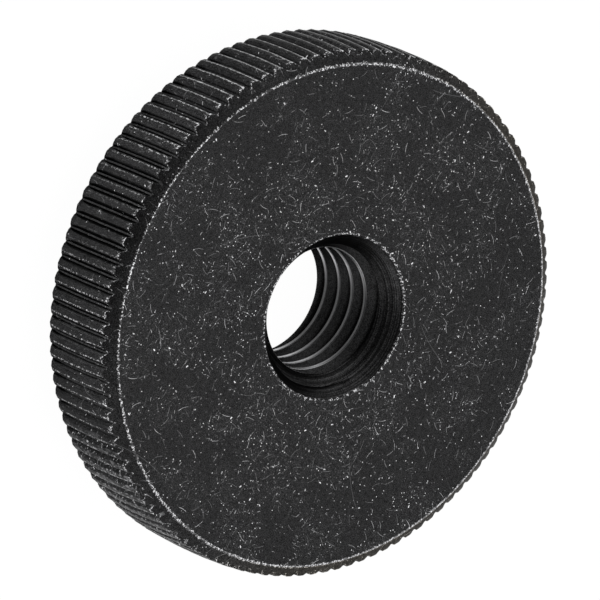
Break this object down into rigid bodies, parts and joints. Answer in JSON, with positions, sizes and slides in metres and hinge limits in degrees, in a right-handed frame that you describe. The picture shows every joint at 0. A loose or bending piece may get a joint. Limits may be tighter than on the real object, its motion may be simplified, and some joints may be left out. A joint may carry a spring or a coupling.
{
  "type": "knurled thumb nut",
  "caption": "Flat round thumb nut with a straight knurled rim, a tapped centre hole countersunk at both ends and a crowned rear face.",
  "frame": {"origin": "centre of the crowned rear face, where the nut rests", "axes": "+Z along the threaded hole, from the crowned rear face to the flat front face"},
  "size_m": [0.036, 0.036, 0.009],
  "materials": {
    "blackened_steel": "black oxide, satin, with bright worn edges and fine handling scratches"
  },
  "bodies": {
    "root": {"knurled_nut": "blackened_steel"}
  },
  "joints": []
}
